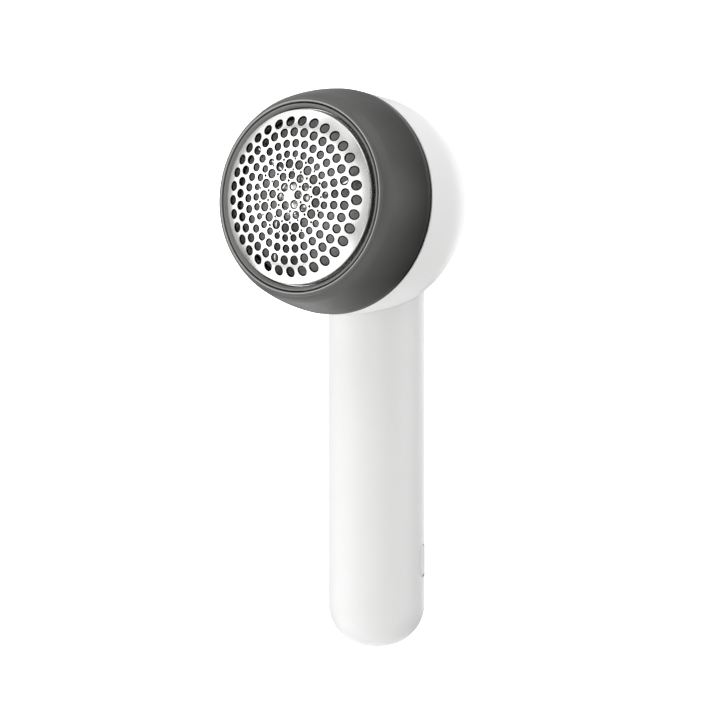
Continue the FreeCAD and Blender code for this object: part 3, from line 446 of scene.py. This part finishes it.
# The second material, edge, is near-black metal on the holes' bevels and walls: painted shade round each hole.
def make_foil(steel, edge):
    flat, triangles, owners, holes = foil_layout()
    points, faces, face_materials, normals = [], [], [], []

    def hole_tilt(x, y, owner):
        """The normal at a hole's edge, tilted towards the hole."""
        towards = (Vector(holes[owner[0]][:2]) - Vector((x, y))).normalized().to_3d()
        tilt = math.radians(BEVEL_TILT)
        return (foil_normal(x, y) * math.cos(tilt) + towards * math.sin(tilt)).normalized()

    for (x, y), owner in zip(flat, owners):
        drop = BEVEL_DROP if owner and owner[1] == 0 else 0.0
        points.append(Vector((x, y, foil_height(math.hypot(x, y)) - drop)))
    back = len(points)
    for x, y in flat:
        points.append(Vector((x, y, foil_height(math.hypot(x, y)))) - foil_normal(x, y) * FOIL_THICK)

    def add_face(corners, corner_normals, material):
        faces.append(corners)
        normals.extend(corner_normals)
        face_materials.append(material)

    walls = {}
    for triangle in triangles:
        owned = [owners[corner] for corner in triangle]
        if all(owned) and all(owner == owned[0] for owner in owned) and owned[0][1] == 0:
            continue
        bevelled = any(owner and owner[1] == 0 for owner in owned)
        top = []
        for corner in triangle:
            x, y = flat[corner]
            at_edge = owners[corner] and owners[corner][1] == 0
            top.append(hole_tilt(x, y, owners[corner]) if at_edge else foil_normal(x, y))
        # Faces at a hole's bevel take the second material, the painted shade.
        add_face(list(triangle), top, 1 if bevelled else 0)
        below = [-foil_normal(*flat[corner]) for corner in reversed(triangle)]
        add_face([corner + back for corner in reversed(triangle)], below, 0)
        for a, b in zip(triangle, list(triangle[1:]) + [triangle[0]]):
            if owners[a] and owners[a] == owners[b] and owners[a][1] == 0:
                walls[(a, b)] = owners[a]
    for (a, b), owner in walls.items():
        centre = Vector(holes[owner[0]][:2])
        inward = {corner: (centre - Vector(flat[corner])).normalized().to_3d() for corner in (a, b)}
        add_face([b, a, a + back, b + back], [inward[b], inward[a], inward[a], inward[b]], 1)

    rolled_edge(points, flat, back, add_face)
    placed = [HEAD_PLACE @ (point * MM) for point in points]
    turned_normals = [HEAD_PLACE.to_3x3() @ normal for normal in normals]
    piece = new_piece(
        "foil_pierced", placed, faces, "foil_unit", [steel, edge], face_materials, turned_normals
    )
    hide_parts("foil")


def rolled_edge(points, flat, back, add_face):
    """The plain edge, skirt and flange, joined on to the rim of the pierced part."""
    rim = [k for k, (x, y) in enumerate(flat) if math.hypot(x, y) > PATTERN_RADIUS - 0.01]
    rim.sort(key=lambda k: math.atan2(flat[k].y, flat[k].x))
    centre_r, centre_h = shoulder_centre()
    edge_r = FOIL_RADIUS - FOIL_EDGE_ROUND
    step = SHOULDER_ROUND - FOIL_EDGE_ROUND
    end = math.asin((edge_r - centre_r) / step)
    edge_h = centre_h + step * math.cos(end)
    start = foil_slope(PATTERN_RADIUS)
    front = FLANGE_BACK + FOIL_THICK
    outside = []
    for k in range(1, EDGE_STEPS + 1):
        tilt = start + (end - start) * k / EDGE_STEPS
        outside.append((centre_r, centre_h, SHOULDER_ROUND, tilt))
    for k in range(1, EDGE_STEPS + 1):
        tilt = end + (math.pi / 2 - end) * k / EDGE_STEPS
        outside.append((edge_r, edge_h, FOIL_EDGE_ROUND, tilt))
    profile = [
        (r + length * math.sin(tilt), h + length * math.cos(tilt), tilt) for r, h, length, tilt in outside
    ]
    inner = [
        (r + (length - FOIL_THICK) * math.sin(tilt), h + (length - FOIL_THICK) * math.cos(tilt),
         tilt + math.pi)
        for r, h, length, tilt in outside
    ]
    level = math.pi / 2
    profile += [
        (FOIL_RADIUS, front + FOOT_ROUND, level),
        (FOIL_RADIUS + 0.3 * FOOT_ROUND, front + 0.3 * FOOT_ROUND, level / 2),
        (FOIL_RADIUS + FOOT_ROUND, front, 0.0),
        (FLANGE_RADIUS, front, 0.0),
        (FLANGE_RADIUS, FLANGE_BACK, math.pi),
    ]
    inner += [
        (FOIL_RADIUS - FOIL_THICK, FLANGE_BACK + FOOT_ROUND, 3 * level),
        (FOIL_RADIUS - FOIL_THICK + FOOT_ROUND, FLANGE_BACK, math.pi),
        (FLANGE_RADIUS, FLANGE_BACK, math.pi),
    ]
    for outline, first, turned_over in ((profile, rim, False), (inner, [k + back for k in rim], True)):
        tilts = [start + (math.pi if turned_over else 0.0)] + [entry[2] for entry in outline]
        rings = [first]
        for radius, height, _ in outline:
            rings.append(list(range(len(points), len(points) + len(rim))))
            for k in rim:
                x, y = flat[k].normalized()
                points.append(Vector((radius * x, radius * y, height)))
        for near, far, tilt_near, tilt_far in zip(rings, rings[1:], tilts, tilts[1:]):
            for k in range(len(rim)):
                following = (k + 1) % len(rim)
                corners = [(near[k], k, tilt_near), (far[k], k, tilt_far),
                           (far[following], following, tilt_far), (near[following], following, tilt_near)]
                if turned_over:
                    corners.reverse()
                corner_normals = []
                for _, spoke, tilt in corners:
                    x, y = flat[rim[spoke]].normalized()
                    corner_normals.append(Vector((x * math.sin(tilt), y * math.sin(tilt), math.cos(tilt))))
                add_face([corner[0] for corner in corners], corner_normals, 0)


# ---------------------------------------------------------------- float spring
SHARP_ANGLE = 35.0          # the wire's cut ends are steeper than this, in degrees


def make_float_spring(steel):
    """The spring behind the blades, copied from the CAD node's mesh with its cut ends shaded sharp. In the shaver
    it shortens towards the motor as the foil pushes the blades in.
    """
    node = NODES["float_spring"]
    points = [vertex.co for vertex in node.data.vertices]
    faces = [list(polygon.vertices) for polygon in node.data.polygons]
    piece = new_piece("float_spring_coil", points, faces, "drive", [steel])
    piece.data.set_sharp_from_angle(angle=math.radians(SHARP_ANGLE))
    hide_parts("float_spring")
    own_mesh(piece)


# ---------------------------------------------------------------- materials
WHITE = (0.80, 0.80, 0.795)
# The white shell's plastic painted lighter for the dome: painted light.
DOME_LIT_WHITE = (0.86, 0.86, 0.855)
# The housing's colour runs from CHARCOAL at the rim to a darker colour at the dome: painted shade.
CHARCOAL = (0.094, 0.094, 0.091)        # at the housing's rim
CHARCOAL_SHADED_BACK = (0.018, 0.018, 0.017)   # where the housing meets the dome
FRAME_GREY = (0.24, 0.24, 0.23)
CARRIER_PALE = (0.74, 0.74, 0.73)
# The carrier's darker colour further out is painted shade.
CARRIER_SHADED_GREY = (0.42, 0.42, 0.41)
# Black on the frame ring's inner edge: painted shadow where the ring meets the foil.
LIP_SHADOW_BLACK = (0.01, 0.01, 0.01)
# Black along the housing next to the split: painted shadow of the seam.
SEAM_SHADOW_BLACK = (0.002, 0.002, 0.002)
# Pale grey on the rim's crest: a painted highlight.
CREST_HIGHLIGHT_GREY = (0.40, 0.40, 0.40)
RIM_RADIUS = 28.3           # crest of the dark housing's rim
RIM_FRONT = 20.0            # the rim's crest, forward of the split
# FADE_BACK is where the painted shade has darkened the housing fully.
FADE_BACK = 3.0             # where the housing's colour has darkened fully
# The carrier's painted shade starts at CARRIER_MIDDLE and is full at CARRIER_EDGE.
CARRIER_MIDDLE = 7.0        # radius where the carrier starts to darken
CARRIER_EDGE = 21.0
RIM_SHEEN = 0.3
FRAME_LIP = 26.2            # inner edge of the ring round the foil

# The crest band places a painted highlight, and the seam and lip bands place painted shadow lines.
# where each band starts, is full, ends and is gone
CREST_BAND = (-0.35, -0.1, 0.05, 0.2)       # outwards of the rim's crest
SEAM_BAND = (-1.0, -0.9, 1.1, 1.3)          # forward of the split
LIP_BAND = (-0.4, -0.2, 0.05, 0.25)         # outwards of the ring's inner edge


def housing_plastic():
    """Satin charcoal plastic with painted shade that darkens it backwards, a painted highlight that makes the
    rim's crest pale and a painted shadow that makes a black line along the seam at the dome.
    """
    material = moulded("charcoal_housing", CHARCOAL, 0.42, 2200.0, 0.00002, 0.05, 0.0)
    shader = material.node_tree.nodes["Principled BSDF"]
    radius, forward = head_coordinates(material)
    # Painted shade: darker backwards from the rim's crest to the dome.
    tint(material, fade(material, forward, RIM_FRONT * MM, FADE_BACK * MM), CHARCOAL_SHADED_BACK)
    # Painted highlight: the rim's crest is painted pale grey, and made partly metallic for its gloss.
    crest = band(material, radius, *((RIM_RADIUS + step) * MM for step in CREST_BAND))
    tint(material, crest, CREST_HIGHLIGHT_GREY)
    # Painted shadow: a black band along the seam, fully metallic so that it shows no reflection.
    seam = band(material, forward, *(step * MM for step in SEAM_BAND))
    tint(material, seam, SEAM_SHADOW_BLACK)
    crest_and_seam_metallic = add(material, "ShaderNodeMath", operation="MULTIPLY_ADD")
    crest_and_seam_metallic.inputs[1].default_value = RIM_SHEEN
    link(material, crest, crest_and_seam_metallic.inputs[0])
    link(material, seam, crest_and_seam_metallic.inputs[2])
    link(material, crest_and_seam_metallic.outputs["Value"], shader.inputs["Metallic"])
    return material


def frame_plastic():
    """Satin grey plastic, with a black painted shadow line where it meets the foil."""
    material = moulded("frame_grey", FRAME_GREY, 0.32, 2200.0, 0.00001, 0.04)
    radius, _ = head_coordinates(material)
    lip = band(material, radius, *((FRAME_LIP + step) * MM for step in LIP_BAND))
    tint(material, lip, LIP_SHADOW_BLACK)
    return material


def carrier_plastic():
    """Pale grey plastic with painted shade that darkens it outwards."""
    material = moulded("carrier_grey", CARRIER_PALE, 0.45, 1800.0, 0.00002)
    radius, _ = head_coordinates(material)
    tint(material, fade(material, radius, CARRIER_MIDDLE * MM, CARRIER_EDGE * MM), CARRIER_SHADED_GREY)
    return material


MATERIALS = {
    "white_shell": moulded("white_shell", WHITE, 0.42, 1400.0, 0.000012, 0.006, 0.0),
    "charcoal_housing": housing_plastic(),
    "frame_grey": frame_plastic(),
    "foil_steel": turned_metal("foil_steel", (0.84, 0.84, 0.83), 0.26, 0.00012, 0.000003),
    "blade_steel": brushed("blade_steel", (0.72, 0.72, 0.71), 0.3, (0.2, 1.0, 0.2)),
    "carrier_grey": carrier_plastic(),
    "cap_metal": turned_metal("cap_metal", (0.88, 0.88, 0.87), 0.2, 0.0002, 0.00001, SOFT_EDGE),
    "seal_rubber": grained("seal_rubber", (0.035, 0.035, 0.035), 0.75, 2500.0, 0.00002),
    "spring_steel": brushed("spring_steel", (0.6, 0.6, 0.58), 0.3, (1.0, 0.3, 1.0)),
    "spindle_plastic": moulded("spindle_plastic", (0.70, 0.68, 0.62), 0.4, 1600.0, 0.00002),
    "motor_steel": plated("motor_steel", (0.52, 0.52, 0.50), 0.34),
    "shaft_steel": brushed("shaft_steel", (0.66, 0.66, 0.66), 0.16, (1.0, 0.15, 1.0)),
    "magnet": grained("magnet", (0.06, 0.06, 0.058), 0.6, 1800.0, 0.00002, 0.3),
    "copper": striped("copper", (0.62, 0.24, 0.09), 0.3, 0.00036, "Z", 0.00005, 0.9),
    "bronze": grained("bronze", (0.45, 0.28, 0.12), 0.45, 3000.0, 0.00001, 0.9, 0.2),
    "motor_plastic": moulded("motor_plastic", (0.03, 0.03, 0.03), 0.5, 1200.0, 0.00003),
    "terminal_metal": plated("terminal_metal", (0.66, 0.66, 0.63), 0.3, 900.0),
    "mount_plastic": moulded("mount_plastic", (0.075, 0.075, 0.075), 0.5, 1100.0, 0.00004, 0.08),
    "screw_steel": plated("screw_steel", (0.62, 0.62, 0.60), 0.24, 1500.0),
    "plunger_plastic": moulded("plunger_plastic", (0.58, 0.58, 0.54), 0.4, 2000.0, 0.00001),
    "light_guide": moulded(
        "light_guide", (0.82, 0.84, 0.84), 0.3, 1500.0, 0.00001, 0.01, Transmission_Weight=0.45),
    "button_plastic": moulded("button_plastic", (0.34, 0.34, 0.335), 0.4, 1900.0, 0.000015),
    "led": moulded("led", (0.9, 0.85, 0.6), 0.15, 900.0, 0.00001, 0.03, Transmission_Weight=0.3),
    "board": circuit_board("board", (0.012, 0.085, 0.035), (0.03, 0.17, 0.07)),
    "chip": moulded("chip", (0.02, 0.02, 0.021), 0.6, 2600.0, 0.00002),
    "cell_wrap": moulded("cell_wrap", (0.03, 0.08, 0.24), 0.28, 500.0, 0.00003, 0.04),
    "foam": grained("foam", (0.04, 0.04, 0.04), 0.95, 1400.0, 0.00012, 0.0, 0.5),
    "socket_steel": brushed("socket_steel", (0.56, 0.56, 0.55), 0.28, (0.2, 0.2, 1.0)),
    "tongue_plastic": moulded("tongue_plastic", (0.02, 0.02, 0.02), 0.45, 2000.0, 0.00001),
    "soft_white": moulded("soft_white", (0.78, 0.78, 0.772), 0.6, 2600.0, 0.00001, 0.01, 0.0001),
    "wire_red": striped("wire_red", (0.42, 0.02, 0.015), 0.45, 0.0011, "Z", 0.00001),
    "wire_black": striped("wire_black", (0.025, 0.025, 0.025), 0.45, 0.0011, "Z", 0.00001),
}

for part in frame["record"]["subparts"]:
    node = NODES[part["node"]]
    node.data.materials.clear()
    node.data.materials.append(MATERIALS[part["material_slot"]])

# The dome gets a lighter copy of the white shell's plastic: painted light.
dome_lit_shell = moulded("white_shell_dome_lit", DOME_LIT_WHITE, 0.42, 1400.0, 0.000012, 0.006, 0.0)
NODES["rear_dome"].data.materials[0] = dome_lit_shell
# Near-black metal on the holes' bevels and walls: painted shade round each hole.
foil_hole_shade = turned_metal("foil_hole_painted_shade", (0.008, 0.008, 0.008), 0.6, 0.00008, 0.00001)
make_foil(MATERIALS["foil_steel"], foil_hole_shade)
make_float_spring(MATERIALS["spring_steel"])

# ---------------------------------------------------------------- floor, light and camera
scene = bpy.context.scene
CAMERA_FROM_HEAD = Vector((0.3030, -0.4517, -0.04774))
CAMERA_TURN = 33.08         # degrees, from looking along +Y towards -X

camera_data = bpy.data.cameras.new("camera")
camera_data.lens = 90
camera_data.sensor_width = 36
camera = bpy.data.objects.new("camera", camera_data)
camera.location = HEAD_CENTRE + CAMERA_FROM_HEAD
camera.rotation_euler = (math.radians(90), 0, math.radians(CAMERA_TURN))
scene.collection.objects.link(camera)
scene.camera = camera


def studio_direction(right, up):
    """A direction right of and above the line from the object to the camera, in degrees."""
    turn = math.radians(CAMERA_TURN + right)
    rise = math.radians(up)
    return Vector((math.sin(turn) * math.cos(rise), -math.cos(turn) * math.cos(rise), math.sin(rise)))


# The studio is ringed with round soft lights. Each height in degrees above the camera has lights at
# (degrees right of the camera, brightness). The gap right of the camera darkens the housing's side.
LIGHT_HALF_WIDTH = 24.0     # degrees, as seen from the object
LIGHT_SPREAD = 0.44         # irradiance of a light of brightness 1
STUDIO_LIGHTS = {
    88.0: ((0.0, 1.0),),
    50.0: ((-100.0, 1.4), (-45.0, 0.8), (0.0, 0.4), (45.0, 1.6), (100.0, 0.7), (180.0, 0.7)),
    10.0: ((-160.0, 0.9), (-120.0, 0.6), (150.0, 2.5)),
    5.0: ((-90.0, 1.3), (-62.0, 1.6), (-35.0, 1.0), (-8.0, 0.8), (72.0, 1.9)),
    -40.0: ((-100.0, 1.9), (-45.0, 1.7), (0.0, 0.7), (45.0, 1.2), (100.0, 0.4), (180.0, 1.7)),
    -88.0: ((0.0, 1.3),),
}


def make_studio():
    world = bpy.data.worlds.new("studio")
    world.use_nodes = True
    world.node_tree.nodes["Background"].inputs["Color"].default_value = (0, 0, 0, 1)
    scene.world = world
    for up, lights in STUDIO_LIGHTS.items():
        for right, brightness in lights:
            data = bpy.data.lights.new("studio_light", "SUN")
            data.angle = math.radians(2 * LIGHT_HALF_WIDTH)
            data.energy = brightness * LIGHT_SPREAD
            light = bpy.data.objects.new("studio_light", data)
            towards = -studio_direction(right, up)
            light.rotation_euler = towards.to_track_quat("-Z", "Y").to_euler()
            scene.collection.objects.link(light)


def make_stage():
    """A pale floor that curves up into a pale wall all round. Only the camera sees it."""
    low, high = CAD_BOX
    centre = (low + high) / 2
    reach = 3.0
    rise = 1.2
    outline = [(0.0, 0.0), (reach - rise, 0.0)]
    outline += [
        (reach - rise + rise * math.sin(t), rise - rise * math.cos(t))
        for t in (math.radians(9 * k) for k in range(1, 11))
    ]
    outline += [(reach, 2 * reach), (0.0, 2 * reach)]
    points, faces = [], []
    steps = 96
    for radius, height in outline:
        for k in range(steps):
            t = 2 * math.pi * k / steps
            x, y = centre.x + radius * math.cos(t), centre.y + radius * math.sin(t)
            points.append((x, y, low.z + height))
    for row in range(len(outline) - 1):
        for k in range(steps):
            following = (k + 1) % steps
            a, b = row * steps + k, row * steps + following
            faces.append((a, b, b + steps, a + steps))
    mesh = bpy.data.meshes.new("studio_floor")
    mesh.from_pydata(points, [], faces)
    paper = bpy.data.materials.new("studio_paper")
    paper.use_nodes = True
    shader = paper.node_tree.nodes["Principled BSDF"]
    shader.inputs["Base Color"].default_value = (0.9, 0.9, 0.9, 1)
    shader.inputs["Emission Color"].default_value = (1, 1, 1, 1)
    shader.inputs["Emission Strength"].default_value = 1.0
    mesh.materials.append(paper)
    floor = bpy.data.objects.new("studio_floor", mesh)
    floor.visible_diffuse = False
    floor.visible_glossy = False
    floor.visible_transmission = False
    floor.visible_shadow = False
    scene.collection.objects.link(floor)


DOME_LIGHT_RIGHT = 110.0    # degrees right of the camera
DOME_LIGHT_UP = -25.0
DOME_LIGHT_DISTANCE = 0.8


def make_dome_light():
    """A soft spot from behind on the right that lifts the white dome."""
    data = bpy.data.lights.new("dome_light", "SPOT")
    data.energy = 6.0
    data.spot_size = math.radians(18)
    data.spot_blend = 0.8
    data.shadow_soft_size = 0.1
    light = bpy.data.objects.new("dome_light", data)
    light.visible_glossy = False
    light.location = HEAD_CENTRE + studio_direction(DOME_LIGHT_RIGHT, DOME_LIGHT_UP) * DOME_LIGHT_DISTANCE
    target = HEAD_CENTRE + Vector((0, 0.02, 0.005))
    light.rotation_euler = (target - light.location).to_track_quat("-Z", "Y").to_euler()
    scene.collection.objects.link(light)


make_studio()
make_stage()
make_dome_light()
scene.view_settings.view_transform = "Standard"
